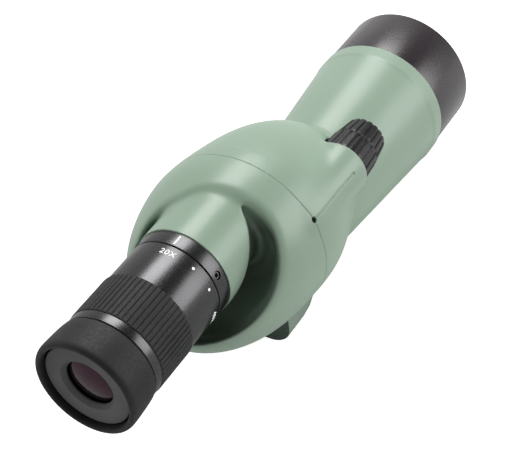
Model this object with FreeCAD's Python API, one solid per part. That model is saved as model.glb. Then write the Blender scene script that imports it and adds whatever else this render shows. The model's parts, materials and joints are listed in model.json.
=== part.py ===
import FreeCAD, Part
import math, os

V = FreeCAD.Vector

# Spotting scope, straight-through, 50 mm objective, Porro prisms, 20-40x zoom.
# Millimetres.  +Z up, +Y toward the objective, +X to the user's right hand.
# Origin: centre of the mouth of the tripod thread, on the flat of the foot.

# ---------------------------------------------------------------- axes
ZE = 62.0          # eyepiece axis height
ZT = 31.44         # objective tube axis height
XH, ZH = -1.2, 48.4   # axis of the prism housing, between the two and toward the prisms
XK, ZK = 23.2, 60.1   # focus knob axis
E = -117.5         # eyepiece face plane (stations below are measured from it)

# ---------------------------------------------------------------- housing
SEAM = E + 107.0   # parting plane between rear cover and front body
YMAX = E + 103.0   # widest station of the housing
RH = 38.0          # its radius
AR = 56.0          # rear half length
AF = 63.5          # front half length
WALL = 2.5
NECK0 = E + 63.75  # rear end of the neck
RN0 = 20.2
NECK_RING = E + 67.5   # full ring of the neck ends here
R_CORE = 16.0      # light tube inside the recess
CORE_BORE = 13.2
NECK_BORE = 17.05

# ---------------------------------------------------------------- tube and hood
TUBE = [(106.0, 21.5), (153.0, 25.4), (217.0, 30.7), (218.0, 31.0), (224.2, 31.0)]
HOOD0, HOOD1 = E + 224.2, E + 252.6
RHOOD = 30.5
R_FILTER = 29.0    # M58 x 0.75 thread at the hood mouth
R_CELLBORE = 28.6
R_OBJ = 25.8       # objective glass, 50 mm clear

# ---------------------------------------------------------------- knob
K_RIM = E + 145.4
K_C0, K_C1 = E + 145.9, E + 156.7
K_F0, K_F1 = E + 157.0, E + 168.0
RK0, RK1, RK2, RK3 = 11.2, 10.45, 10.35, 8.7
K_GAP = 0.7
FLUTES = 20

# ---------------------------------------------------------------- foot
FW = 21.9          # half width
FY0, FY1 = E + 97.5, E + 138.0
FR = 9.5
R_THREAD = 3.175   # 1/4-20 UNC
THREAD_LEN = 7.0

# ---------------------------------------------------------------- eyepiece
R_BARREL = 19.65
R_COLLAR = 19.7
R_GRIP = 20.2
R_GSEAT = 18.6
R_BAND = 19.95
R_CUPSEAT = 18.2
R_CUP = 21.16
R_CHASSIS = 16.6
R_CHIN = 14.6
RIBS = 60
CUP_TRAVEL = 7.0

# ---------------------------------------------------------------- prisms
DP = 21.6          # beam shift of each prism
YP1 = E + 116.6    # long face of the rear prism
TPL = 1.6          # prism plate
AX_I = (-15.28, ZT + 15.28)   # axis of the leg between the prisms

os.makedirs("parts", exist_ok=True)


def cyl(r, y0, y1, x=0.0, z=0.0):
    return Part.makeCylinder(r, y1 - y0, V(x, y0, z), V(0, 1, 0))


def ring(ro, ri, y0, y1, x=0.0, z=0.0):
    return cyl(ro, y0, y1, x, z).cut(cyl(ri, y0 - 1, y1 + 1, x, z))


def rev(pts, x=0.0, z=0.0):
    w = Part.makePolygon([V(0, a, b) for a, b in pts] + [V(0, pts[0][0], pts[0][1])])
    s = Part.Face(w).revolve(V(0, 0, 0), V(0, 1, 0), 360)
    s.translate(V(x, 0, z))
    return s


def revmix(segs, x=0.0, z=0.0):
    # segs: list of ("l" or "s", points) joined end to end, "s" is a smooth curve
    es = []
    for k, p in segs:
        q = [V(0, a, b) for a, b in p]
        if k == "s":
            c = Part.BSplineCurve()
            c.interpolate(q)
            es.append(c.toShape())
        else:
            for i in range(len(q) - 1):
                es.append(Part.makeLine(q[i], q[i + 1]))
    s = Part.Face(Part.Wire(es)).revolve(V(0, 0, 0), V(0, 1, 0), 360)
    s.translate(V(x, 0, z))
    return s


def ellipse_body(rad, rear, front, y0, y1, x, z):
    # half-ellipse profile about its own axis, trimmed to y0..y1
    def r_at(y):
        a = rear if y < YMAX else front
        return rad * math.sqrt(max(0.0, 1 - ((y - YMAX) / a) ** 2))
    n = 16
    a0 = math.acos(max(-1.0, (y0 - YMAX) / rear)) if y0 < YMAX else None
    ys = []
    for i in range(n + 1):
        t = i / n
        if y0 < YMAX:
            th0 = math.asin(max(-1.0, (y0 - YMAX) / rear))
        else:
            th0 = math.asin((y0 - YMAX) / front)
        if y1 < YMAX:
            th1 = math.asin((y1 - YMAX) / rear)
        else:
            th1 = math.asin(min(1.0, (y1 - YMAX) / front))
        th = th0 + (th1 - th0) * t
        ys.append(YMAX + (rear if th < 0 else front) * math.sin(th))
    p = [(y, r_at(y)) for y in ys]
    segs = [("s", p)]
    if p[-1][1] > 1e-6:
        segs.append(("l", [p[-1], (p[-1][0], 0.0)]))
    segs.append(("l", [(p[-1][0], 0.0), (p[0][0], 0.0)]))
    if p[0][1] > 1e-6:
        segs.append(("l", [(p[0][0], 0.0), p[0]]))
    return revmix(segs, x, z)


def tilt(shape, ang, x, z):
    s = shape.copy()
    s.rotate(V(x, 0, z), V(0, 1, 0), ang)
    return s


def radial_cyl(r, d0, d1, y, ang, x, z):
    # cylinder lying along a radius, ang measured from +Z toward +X
    a = math.radians(ang)
    d = V(math.sin(a), 0, math.cos(a))
    return Part.makeCylinder(r, d1 - d0, V(x, y, z) + d * d0, d)


def lens(r, y0, y1, sag0, sag1, x, z):
    # sag0: bulge of the low-Y face toward -Y, sag1: bulge of the high-Y face toward +Y
    def arc(p, q, s):
        if abs(s) < 1e-6:
            return Part.makeLine(p, q)
        m = V(0, (p.y + q.y) / 2, (p.z + q.z) / 2)
        return None
    n = 10
    pts = []
    for i in range(n + 1):
        h = r * i / n
        pts.append((y0 - sag0 * (1 - (h / r) ** 2), h))
    top = []
    for i in range(n + 1):
        h = r * (n - i) / n
        top.append((y1 + sag1 * (1 - (h / r) ** 2), h))
    segs = [("s", pts), ("l", [pts[-1], top[0]]), ("s", top), ("l", [top[-1], pts[0]])]
    return revmix(segs, x, z)


def out(name, shape):
    if isinstance(shape, (list, tuple)):
        shape = Part.makeCompound(list(shape))
    shape.exportStep("parts/%s.step" % name)
    print(name, len(shape.Solids), round(shape.Volume, 1), shape.isValid())


# ======================================================================
# Rear cover: back half of the bulb with the dished recess and the neck.
# ======================================================================
bulb_r = ellipse_body(RH, AR, AF, YMAX - AR, SEAM, XH, ZH)
RECESS = [(90.2, R_CORE), (91.3, 20.0), (90.6, 24.0), (87.0, 27.6), (81.5, 30.0), (74.0, 30.8), (66.0, 30.3), (58.0, 27.6),
          (51.5, 23.8), (47.2, 20.7)]
rc = [(E + a, b) for a, b in RECESS]
dish = revmix([("s", rc), ("l", [rc[-1], (rc[-1][0], R_CORE), rc[0]])], 0, ZE)
# the neck: a cylinder trimmed by a face leaning 36 degrees, a full ring at its
# rear end and a light tube inside
neck = rev([(NECK0, 0), (NECK0, RN0), (E + 104, RN0), (E + 104, 0)], 0, ZE)
TS, TI = 0.73, 77.5
tri = Part.Face(Part.makePolygon([V(0, E + 40, -60), V(0, E + TI + TS * -60, -60), V(0, E + TI + TS * 60, 60), V(0, E + 40, 60), V(0, E + 40, -60)]))
half = tri.extrude(V(80, 0, 0))
half.translate(V(-40, 0, ZE))
neck = neck.common(half)
neck = neck.fuse(cyl(RN0, NECK0, NECK_RING, 0, ZE))
core = cyl(R_CORE, NECK0, E + 96, 0, ZE)
RECESS2 = [(92.9, 0.0), (92.9, 15.0), (93.8, 20.0), (93.0, 25.2), (89.0, 29.6), (82.6, 32.4), (74.0, 33.3), (65.0, 32.8),
           (56.5, 29.9), (49.6, 25.5), (44.6, 21.4)]
r2 = [(E + a, b) for a, b in RECESS2]
keep = revmix([("l", r2[:2]), ("s", r2[1:]), ("l", [r2[-1], (r2[-1][0], 0), r2[0]])], 0, ZE)
inner_r = ellipse_body(RH - WALL, AR - WALL, AF - WALL, YMAX - AR + WALL, SEAM + 1, XH, ZH)
cav = inner_r.cut(keep)
rear = bulb_r.cut(cyl(20.7, E + 40, NECK0, 0, ZE)).cut(dish).fuse([neck, core])
lip_o, lip_i = 35.05, 32.4
lip = ring(lip_o, lip_i, SEAM - 3.0, SEAM + 4.0, XH, ZH)
rear = rear.cut(cav).cut(cyl(NECK_BORE, NECK0 - 1, E + 66.2, 0, ZE)).cut(cyl(CORE_BORE, NECK0, E + 97, 0, ZE))
rear = rear.cut(neck.cut(cyl(60, NECK0 - 1, E + 93.0, 0, ZE)))
rear = rear.fuse(lip)
rear = rear.cut(ring(lip_o + 1, 33.3, SEAM + 0.95, SEAM + 3.05, XH, ZH))
fs_y = (-15.0, 15.0)
boss_r = Part.makeCylinder(4.0, 5.5, V(0, fs_y[0], 11.0), V(0, 0, 1))
rear = rear.fuse(boss_r.common(bulb_r))
rear = rear.cut(Part.makeCylinder(1.55, 12, V(0, fs_y[0], 8), V(0, 0, 1)))
# notches on the parting line for the two cover screws
NA = 63.0
GX, GZ = 33.45, 65.75
for s in (1, -1):
    rear = rear.cut(radial_cyl(1.5, 30.0, 42.0, SEAM + 0.2, s * NA, XH, ZH))
rear = rear.removeSplitter()
out("rear_cover", rear)

# ======================================================================
# Front body: front half of the bulb, knob fairing and conical tube.
# ======================================================================
bulb_f = ellipse_body(RH, AR, AF, SEAM, YMAX + AF, XH, ZH)
tp = [(max(SEAM, E + a), b) for a, b in TUBE]
tube = rev([(tp[0][0], 0)] + tp + [(tp[-1][0], 0)], 0, ZT)
fair = rev([(E + 108, 0), (E + 108, 10.6), (K_RIM - 0.6, 12.2), (K_RIM, 11.9), (K_RIM, 0)], XK, ZK)
pocket = rev([(K_RIM, 0), (K_RIM, RK0 + K_GAP), (K_F1 + 6, RK3 + K_GAP), (K_F1 + 6, 0)], XK, ZK)
pwall = rev([(K_RIM - 2.5, 0), (K_RIM - 2.5, RK0 + K_GAP + 2.2), (K_F1 + 8, RK3 + K_GAP + 2.4), (K_F1 + 8, 0)], XK, ZK)
inner_f = ellipse_body(RH - WALL, AR - WALL, AF - WALL, SEAM - 1, YMAX + AF - WALL, XH, ZH).cut(pwall)
tin = rev([(SEAM - 1, 0), (SEAM - 1, 21.3 - 2.4), (E + 153, 25.4 - 2.4), (E + 211.5, 30.24 - 2.4), (E + 211.5, 0)], 0, ZT)
fin = rev([(E + 106, 0), (E + 106, 8.2), (E + 142.4, 9.7), (E + 142.4, 0)], XK, ZK)
front = bulb_f.fuse([tube, fair])
front = front.cut(pocket)
front = front.cut(inner_f).cut(tin).cut(fin)
front = front.cut(cyl(R_CELLBORE, E + 211.5, E + 230, 0, ZT))
front = front.cut(cyl(4.5, E + 140, K_RIM + 1, XK, ZK))
boss_f = Part.makeCylinder(4.0, 5.5, V(0, fs_y[1], 8.2), V(0, 0, 1)).common(bulb_f.fuse(tube))
front = front.fuse(boss_f)
front = front.cut(Part.makeCylinder(1.55, 12, V(0, fs_y[1], 5), V(0, 0, 1)))
PB = [25.0, 150.0, 205.0]      # plate boss angles from +Z toward +X
for a in PB:
    ar = math.radians(a)
    bx, bz = XH + 31.2 * math.sin(ar), ZH + 31.2 * math.cos(ar)
    b = cyl(3.2, YP1 + TPL, YP1 + TPL + 14, bx, bz).common(bulb_f.fuse(tube))
    front = front.fuse(b.cut(cyl(1.05, YP1, YP1 + 8, bx, bz)))
    front = front.cut(cyl(1.05, YP1, YP1 + 8, bx, bz))
for s in (1, -1):
    front = front.cut(radial_cyl(1.5, 30.0, 42.0, SEAM + 0.2, s * NA, XH, ZH))
# driver channel along the fairing, leading back to the right-hand cover screw
front = front.cut(cyl(0.8, SEAM - 1, E + 138.0, GX, GZ))
front = front.removeSplitter()
out("front_body", front)

# ---- seam seal and cover screws
oring = Part.makeTorus(34.34, 0.98, V(XH, SEAM + 2.0, ZH), V(0, 1, 0))
notchring = [radial_cyl(1.7, 30.0, 42.0, SEAM + 0.2, s * NA, XH, ZH) for s in (1, -1)]
for n in notchring:
    oring = oring.cut(n)
out("seam_oring", oring)
scr = []
for s in (1, -1):
    a = radial_cyl(1.4, 31.0, 36.4, SEAM + 0.2, s * NA, XH, ZH)
    a = a.cut(radial_cyl(0.7, 35.2, 37.0, SEAM + 0.2, s * NA, XH, ZH))
    scr.append(a)
out("cover_screws", scr)

# ======================================================================
# Tripod foot
# ======================================================================
prof = Part.makeBox(2 * FW, FY1 - FY0, 24.0, V(-FW, FY0, 0))
ed = [e for e in prof.Edges if abs(e.BoundBox.ZMax) < 1e-6 and e.BoundBox.YLength > 10]
prof = prof.makeFillet(FR, ed)
skin = ellipse_body(RH + 0.06, AR + 0.06, AF + 0.06, YMAX - AR - 0.06, YMAX + AF, XH, ZH)
tskin = rev([(SEAM - 1, 0), (SEAM - 1, 21.42 + 0.06)] + [(E + a, b + 0.06) for a, b in TUBE[1:3]] + [(E + 217, 0)], 0, ZT)
foot = prof.cut(skin).cut(tskin)
keepz = Part.makeBox(80, 80, 18.0, V(-40, -40, -1))
foot = foot.common(keepz)
foot = max(foot.Solids, key=lambda s: s.Volume)
foot = foot.cut(Part.makeCylinder(5.5, 7.5, V(0, 0, -0.5), V(0, 0, 1)))
foot = foot.cut(Part.makeCylinder(3.4, 4, V(0, 0, 0), V(0, 0, 1)))
for y in fs_y:
    foot = foot.cut(Part.makeCylinder(1.65, 30, V(0, y, -1), V(0, 0, 1)))
    foot = foot.cut(Part.makeCylinder(3.0, 4.2, V(0, y, -1), V(0, 0, 1)))
out("tripod_foot", foot)
bush = Part.makeCylinder(5.45, 6.95, V(0, 0, 0), V(0, 0, 1)).cut(Part.makeCylinder(R_THREAD, 6.2, V(0, 0, -0.1), V(0, 0, 1)))
out("tripod_bush", bush)
fsc = []
for y, top in zip(fs_y, (15.6, 12.8)):
    s = Part.makeCylinder(2.75, 1.8, V(0, y, 1.38), V(0, 0, 1)).fuse(Part.makeCylinder(1.5, top - 3.18, V(0, y, 3.18), V(0, 0, 1)))
    s = s.cut(Part.makeCylinder(1.15, 1.3, V(0, y, 1.3), V(0, 0, 1)))
    fsc.append(s)
out("foot_screws", fsc)

# ======================================================================
# Prism set
# ======================================================================
def prism(cx, cz, ang, y_face, sgn, grow=0.0, width=DP):
    # right-angle prism, long face on y_face, apex toward sgn*Y
    h = DP + grow
    tri = Part.Face(Part.makePolygon([V(-h, 0, -width / 2), V(h, 0, -width / 2), V(0, sgn * h, -width / 2), V(-h, 0, -width / 2)]))
    s = tri.extrude(V(0, 0, width))
    s.rotate(V(0, 0, 0), V(0, 1, 0), ang)
    s.translate(V(cx, y_face, cz))
    return s

c1 = ((0 + AX_I[0]) / 2, (ZT + AX_I[1]) / 2)
c2 = ((0 + AX_I[0]) / 2, (ZE + AX_I[1]) / 2)
p1 = prism(c1[0], c1[1], 45, YP1 - 0.02, -1)
p2 = prism(c2[0], c2[1], -45, YP1 + TPL + 0.02, 1)
out("prism_rear", p1)
out("prism_front", p2)
plate = cyl(34.0, YP1, YP1 + TPL, XH, ZH)
for x, z in ((0, ZT), AX_I, (0, ZE)):
    plate = plate.cut(cyl(9.6, YP1 - 1, YP1 + 3, x, z))
plate = plate.cut(cyl(1.6, YP1 - 1, YP1 + 3, XK, ZK))
psc = []
for a in PB:
    ar = math.radians(a)
    bx, bz = XH + 31.2 * math.sin(ar), ZH + 31.2 * math.cos(ar)
    plate = plate.cut(cyl(1.1, YP1 - 1, YP1 + 3, bx, bz))
    s = cyl(1.9, YP1 - 1.5, YP1 - 0.02, bx, bz).fuse(cyl(1.0, YP1 - 0.02, YP1 + 7, bx, bz))
    psc.append(s)
RODS = [(17.5, ZT - 6.4), (-17.5, ZT - 6.4)]
for x, z in RODS:
    plate = plate.cut(cyl(1.52, YP1 - 1, YP1 + 3, x, z))
out("prism_plate", plate)
out("plate_screws", psc)
clips = []
for (cx, cz), ang, yf, sg in ((c1, 45, YP1 - 0.02, -1), (c2, -45, YP1 + TPL + 0.02, 1)):
    o = prism(cx, cz, ang, yf, sg, 1.0, 5.0)
    i = prism(cx, cz, ang, yf - sg * 0.01, sg, 0.06, 6.0)
    clips.append(o.cut(i))
out("prism_clips", clips)

# ======================================================================
# Focusing: rods, carriage, lens, screw, two-section knob
# ======================================================================
rods = [cyl(1.5, YP1 + 0.2, E + 161.4, x, z) for x, z in RODS]
out("guide_rods", rods)
baf = ring(23.3, 13.5, E + 160.0, E + 161.6, 0, ZT)
for x, z in RODS:
    baf = baf.cut(cyl(1.53, E + 159, E + 161.42, x, z))
out("rod_baffle", baf)
CY0, CY1 = E + 146.0, E + 153.0
car = cyl(16.5, CY0, CY1, 0, ZT)
for x, z in RODS:
    lug = cyl(2.9, CY0, CY1, x, z)
    car = car.fuse(lug)
car = car.cut(cyl(14.05, CY0 + 1.5, CY1 + 1, 0, ZT)).cut(cyl(12.5, CY0 - 1, CY1, 0, ZT))
for x, z in RODS:
    car = car.cut(cyl(1.58, CY0 - 1, CY1 + 1, x, z))
a = math.radians(39.0)
px, pz = 18.0 * math.sin(a), ZT + 18.0 * math.cos(a)
bar = cyl(2.0, E + 127.5, CY0 + 4.0, px, pz)
link = Part.makeBox(5.0, 3.0, 14.5, V(-2.5, E + 127.5, 0))
dx, dz = XK - px, ZK - pz
link.rotate(V(0, 0, 0), V(0, 1, 0), math.degrees(math.atan2(dx, dz)))
link.translate(V(px, 0, pz))
eye = cyl(6.9, E + 126.0, E + 132.0, XK, ZK)
car = car.fuse([bar, link, eye]).cut(cyl(5.05, E + 125, E + 133, XK, ZK))
car = car.cut(cyl(14.05, CY0 + 1.5, CY1 + 1, 0, ZT))
car = car.removeSplitter()
out("focus_carriage", car)
out("focus_nut", ring(5.0, 3.1, E + 126.0, E + 132.0, XK, ZK))
out("focus_lens", lens(14.0, E + 147.55, E + 149.5, -1.0, 1.2, 0, ZT))
out("focus_lens_ring", ring(14.0, 12.6, E + 151.0, E + 152.6, 0, ZT))
shaft = rev([(YP1 + 0.3, 0), (YP1 + 0.3, 1.5), (YP1 + TPL + 0.3, 1.5), (YP1 + TPL + 0.3, 3.0), (E + 138.0, 3.0),
             (E + 138.0, 2.5), (E + 166.2, 2.5), (E + 166.2, 0)], XK, ZK)
shaft = shaft.cut(cyl(1.25, E + 160.0, E + 167, XK, ZK))
out("focus_shaft", shaft)
fb = rev([(E + 140.2, 2.56), (E + 140.2, 6.0), (E + 142.3, 6.0), (E + 142.3, 4.45), (K_RIM, 4.45), (K_RIM, 3.7),
          (E + 143.6, 3.7), (E + 143.6, 2.56)], XK, ZK)
out("focus_bush", fb)
out("focus_seal", Part.makeTorus(3.12, 0.55, V(XK, E + 144.4, ZK), V(0, 1, 0)))
out("shaft_clip", ring(4.6, 2.55, E + 138.6, E + 139.4, XK, ZK))


def fluted(y0, r0, y1, r1, phase, bore, depth=0.75, w=0.95):
    s = rev([(y0, 0), (y0, r0 - 0.3), (y0 + 0.3, r0), (y1 - 0.5, r1), (y1, r1 - 0.5), (y1, 0)], XK, ZK)
    s = s.cut(cyl(bore, y0 - 1, y1 + 1, XK, ZK))
    tl = math.degrees(math.atan2(r0 - r1, y1 - y0))
    g = []
    for i in range(FLUTES):
        an = math.radians(phase + i * 360.0 / FLUTES)
        d = V(math.sin(an), 0, math.cos(an))
        rr = w - depth
        p0 = V(XK, y0 - 2, ZK) + d * (r0 + rr + 2 * (r0 - r1) / (y1 - y0))
        p1_ = V(XK, y1 + 2, ZK) + d * (r1 + rr - 2 * (r0 - r1) / (y1 - y0))
        g.append(Part.makeCylinder(w, p0.distanceToPoint(p1_), p0, p1_ - p0))
    return s.cut(g)


ck = fluted(K_C0, RK0, K_C1, RK1, 0.0, 2.53)
out("coarse_knob", ck)
fk_ = fluted(K_F0, RK2, K_F1, RK3, 9.0, 2.57)
fk_ = fk_.cut(cyl(4.4, E + 166.3, K_F1 + 1, XK, ZK))
out("fine_knob", fk_)
ks = cyl(4.1, E + 166.4, E + 167.6, XK, ZK).fuse(cyl(1.2, E + 161.0, E + 166.4, XK, ZK))
ks = ks.cut(Part.makeBox(0.9, 0.7, 6.4, V(XK - 0.45, E + 167.0, ZK - 3.2)))
out("knob_screw", ks)

# ======================================================================
# Objective end
# ======================================================================
cell = rev([(E + 212.5, 25.0), (E + 212.5, 28.5), (E + 227.0, 28.5), (E + 227.0, 25.85), (E + 214.5, 25.85), (E + 214.5, 25.0)], 0, ZT)
out("objective_cell", cell)
out("objective_rear_lens", lens(R_OBJ, E + 214.55, E + 217.5, -1.2, -1.5, 0, ZT))
out("objective_spacer", ring(R_OBJ, 25.0, E + 217.52, E + 218.3, 0, ZT))
out("objective_front_lens", lens(R_OBJ, E + 218.32, E + 221.8, -1.0, 3.4, 0, ZT))
out("objective_retainer", ring(R_OBJ, 25.0, E + 222.03, E + 226.0, 0, ZT))
hood = rev([(HOOD0 + 0.15, 28.55), (HOOD0 + 0.15, RHOOD - 0.25), (HOOD0 + 0.4, RHOOD), (HOOD1 - 0.5, RHOOD), (HOOD1, RHOOD - 0.45),
            (HOOD1, R_FILTER), (HOOD1 - 5.0, R_FILTER), (HOOD1 - 5.0, 28.55)], 0, ZT)
out("objective_hood", hood)

# ======================================================================
# Zoom eyepiece
# ======================================================================
chas = rev([(E + 2.3, R_CHIN), (E + 2.3, R_CHASSIS), (E + 57.0, R_CHASSIS), (E + 57.0, 17.0), (E + 66.1, 17.0), (E + 66.1, R_CHIN)], 0, ZE)
slot = Part.makeBox(2.2, 18.0, 6.0, V(-1.1, E + 26.0, ZE + 13))
chas = chas.cut(slot)
out("eyepiece_chassis", chas)
col = rev([(E + 57.1, 17.05), (E + 57.1, R_COLLAR - 0.25), (E + 57.35, R_COLLAR), (E + 63.6, R_COLLAR), (E + 63.7, R_COLLAR - 0.1),
           (E + 63.7, 17.05)], 0, ZE)
setsc = []
for a in (65.0, 185.0, 305.0):
    col = col.cut(radial_cyl(1.25, 16.0, 21.0, E + 60.2, a, 0, ZE))
    col = col.cut(radial_cyl(1.6, 19.0, 21.0, E + 60.2, a, 0, ZE))
    s = radial_cyl(1.2, 17.1, 19.1, E + 60.2, a, 0, ZE).cut(radial_cyl(0.62, 18.1, 20.0, E + 60.2, a, 0, ZE))
    setsc.append(s)
out("eyepiece_collar", col)
out("collar_set_screws", setsc)

zb = rev([(E + 2.6, 16.7), (E + 2.6, R_CUPSEAT), (E + 13.35, R_CUPSEAT), (E + 13.35, R_BAND), (E + 17.4, R_BAND), (E + 17.4, R_GSEAT),
          (E + 37.4, R_GSEAT), (E + 37.4, R_BARREL), (E + 56.6, R_BARREL), (E + 56.85, R_BARREL - 0.25), (E + 56.85, 16.7)], 0, ZE)
out("zoom_barrel", zb)
gr = ring(R_GRIP, R_GSEAT + 0.04, E + 17.45, E + 37.35, 0, ZE)
gv = []
for i in range(RIBS):
    an = 2 * math.pi * i / RIBS
    d = V(math.sin(an), 0, math.cos(an))
    gv.append(Part.makeCylinder(0.42, 30, V(0, E + 12, ZE) + d * (R_GRIP + 0.05), V(0, 1, 0)))
gr = gr.cut(gv)
out("zoom_grip", gr)

out("zoom_cell", ring(14.5, 11.55, E + 36.0, E + 44.0, 0, ZE).cut(radial_cyl(0.95, 11.0, 15.0, E + 42.0, 0, 0, ZE)))
out("zoom_lens", lens(11.5, E + 38.0, E + 40.0, 1.6, 1.6, 0, ZE))
out("cam_pin", radial_cyl(0.92, 12.4, 16.5, E + 42.0, 0, 0, ZE))
out("field_cell", rev([(E + 53.0, 9.5), (E + 53.0, 14.55), (E + 65.6, 14.55), (E + 65.6, 12.05), (E + 54.6, 12.05), (E + 54.6, 9.5)], 0, ZE))
out("field_lens", lens(12.0, E + 56.5, E + 58.6, 1.8, 0.0, 0, ZE))
out("field_ring", ring(12.0, 10.4, E + 59.4, E + 61.4, 0, ZE))
out("field_stop", ring(14.55, 8.0, E + 48.0, E + 49.2, 0, ZE))
out("eye_cell", rev([(E + 2.3, 11.55), (E + 2.3, 14.55), (E + 17.0, 14.55), (E + 17.0, 9.8), (E + 15.4, 9.8), (E + 15.4, 11.55)], 0, ZE))
out("eye_lens", lens(11.5, E + 3.2, E + 6.2, 1.9, 0.6, 0, ZE))
out("eye_spacer", ring(11.5, 10.4, E + 6.9, E + 9.4, 0, ZE))
out("eye_inner_lens", lens(11.5, E + 10.8, E + 13.2, 1.2, 1.2, 0, ZE))
fp = rev([(E + 0.0, 11.0), (E + 0.0, 17.45), (E + 0.3, 17.75), (E + 2.25, 17.75), (E + 2.25, 10.3), (E + 1.3, 10.05)], 0, ZE)
out("face_plate", fp)
cup = revmix([
    ("l", [(E + 13.2, 18.3), (E + 13.2, 19.84)]),
    ("s", [(E + 13.2, 19.84), (E + 12.2, 20.35), (E + 9.0, 20.75), (E + 4.0, 21.05), (E + 1.0, 21.16), (E - 1.3, 20.95), (E - 2.35, 20.1),
           (E - 2.5, 19.35), (E - 1.9, 18.7), (E - 0.8, 18.35)]),
    ("l", [(E - 0.8, 18.35), (E + 1.0, 18.3), (E + 13.2, 18.3)])], 0, ZE)
out("eyecup", cup)
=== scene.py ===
import bpy, bmesh, json, math
import numpy as np
from mathutils import Vector, Matrix


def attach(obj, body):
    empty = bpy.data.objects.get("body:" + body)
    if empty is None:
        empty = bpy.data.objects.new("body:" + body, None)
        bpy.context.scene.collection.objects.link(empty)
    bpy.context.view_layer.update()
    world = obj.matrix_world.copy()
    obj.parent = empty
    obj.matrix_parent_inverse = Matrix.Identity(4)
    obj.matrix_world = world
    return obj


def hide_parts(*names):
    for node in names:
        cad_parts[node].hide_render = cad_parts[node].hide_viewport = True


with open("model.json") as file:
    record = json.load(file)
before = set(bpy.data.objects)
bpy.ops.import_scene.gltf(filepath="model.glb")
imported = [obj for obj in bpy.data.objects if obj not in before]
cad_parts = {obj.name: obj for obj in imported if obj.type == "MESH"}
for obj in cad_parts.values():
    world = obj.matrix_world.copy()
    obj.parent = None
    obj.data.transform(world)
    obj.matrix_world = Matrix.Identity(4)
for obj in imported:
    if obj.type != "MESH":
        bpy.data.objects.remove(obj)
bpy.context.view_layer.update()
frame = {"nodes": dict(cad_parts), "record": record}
N = frame["nodes"]

# SDF-BEGIN
# ---- sizes, millimetres in the row frame ----
ZE, ZT = 62.0, 31.44
ZH = 47.0
XK, ZK = 23.2, 60.1
E = -117.5
SEAM, YMAX = E + 107.0, E + 103.0
RH, AR, AF = 37.7, 55.0, 64.0
NECK0 = E + 63.75
TUBE_END = E + 224.2
K_RIM = E + 145.4


def smin(a, b, k):
    h = np.clip(0.5 + 0.5 * (b - a) / k, 0, 1)
    return b + (a - b) * h - k * h * (1 - h)


def smax(a, b, k):
    return -smin(-a, -b, k)


def d_bulb(X, Y, Z):
    w = np.clip((E + 124 - Y) / 28.0, 0, 1)
    xh = -2.3 * w * w * (3 - 2 * w)
    rho2 = (X - xh) ** 2 + (Z - ZH) ** 2
    t = Y - YMAX
    a2 = np.where(t < 0, AR * AR, AF * AF)
    k0 = np.sqrt(rho2 / RH ** 2 + t * t / a2)
    k1 = np.sqrt(rho2 / RH ** 4 + t * t / (a2 * a2))
    return k0 * (k0 - 1) / np.maximum(k1, 1e-6)


def tube_r(Y):
    return np.interp(Y - E, [106, 132, 153, 216.2, 217.6, 230], [15.0, 23.4, 25.4, 30.62, 31.0, 31.0])


def d_tube(X, Y, Z):
    return (np.sqrt(X * X + (Z - ZT) ** 2) - tube_r(Y)) * 0.996


def d_outer(X, Y, Z):
    re = np.sqrt(X * X + (Z - ZE) ** 2)
    ye = Y - E
    b = d_bulb(X, Y, Z)
    th = np.degrees(np.arctan2(X, Z - ZE))
    rt_ = np.interp(th, [-180, -150, -125, -100, -80, -60, -45, -31, -20, -10, 0, 15, 25, 180],
                    [30.4, 30.4, 28.5, 24.6, 22.8, 22.8, 23.3, 24.2, 26.2, 27.5, 28.5, 29.9, 30.4, 30.4])
    rec = smax(np.sqrt(re * re + (ye - 71.0) ** 2) - rt_, ye - 91.6, 4.0)
    kk = np.interp(th, [-180, -110, -80, -35, 10, 30, 50, 180], [6.0, 3.5, 2.4, 3.4, 4.4, 4.6, 5.5, 6.0])
    b = smax(b, -rec, kk)
    cylr = re - 20.2
    dz = Z - ZE
    lean = (ye - (77.5 + 0.73 * dz + 1.2 * np.maximum(0, dz - 16.8) ** 2)) * 0.807
    nk = smax(cylr, lean, 1.6)
    nk = np.minimum(nk, np.maximum(cylr, ye - 67.2))
    nk = np.minimum(nk, re - 16.0)
    nk = np.maximum(nk, 60.0 - ye)
    nk = np.maximum(nk, ye - 112.0)
    b = smin(b, nk, 3.6)
    tb = np.maximum(d_tube(X, Y, Z), (E + 104) - Y)
    b = smin(b, tb, 4.0)
    rk = np.sqrt((X - XK) ** 2 + (Z - ZK) ** 2)
    fr = rk - (10.3 + (ye - 108) * 0.052 - 0.02 * np.maximum(0, 113 - ye) ** 2)
    fr = smax(fr, Y - K_RIM, 1.2)
    fr = np.maximum(fr, 100 - ye)
    b = smin(b, fr, 3.0)
    return b
# SDF-END

MM = 0.001
rng = np.random.default_rng(7)


def pocket(X, Y, Z):
    rk = np.sqrt((X - XK) ** 2 + (Z - ZK) ** 2)
    return np.maximum(rk - (11.95 - (Y - K_RIM) * 0.105), K_RIM - 0.02 - Y)


def f_rear(X, Y, Z):
    o = d_outer(X, Y, Z)
    re = np.sqrt(X * X + (Z - ZE) ** 2)
    s = np.maximum(o, -(o + 2.2))
    s = np.maximum(s, -np.maximum(re - 13.2, E + 60 - Y))
    s = np.maximum(s, -np.maximum(re - 17.1, Y - (E + 66.3)))
    return s


def f_front(X, Y, Z):
    o = d_outer(X, Y, Z)
    o = smax(o, -pocket(X, Y, Z), 0.5)
    rk = np.sqrt((X - XK) ** 2 + (Z - ZK) ** 2)
    s = np.maximum(o, -(o + 2.2))
    s = np.maximum(s, -(rk - 4.6))
    rt = np.sqrt(X * X + (Z - ZT) ** 2)
    s = np.maximum(s, -np.maximum(rt - 28.65, E + 211.0 - Y))
    return s


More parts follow.
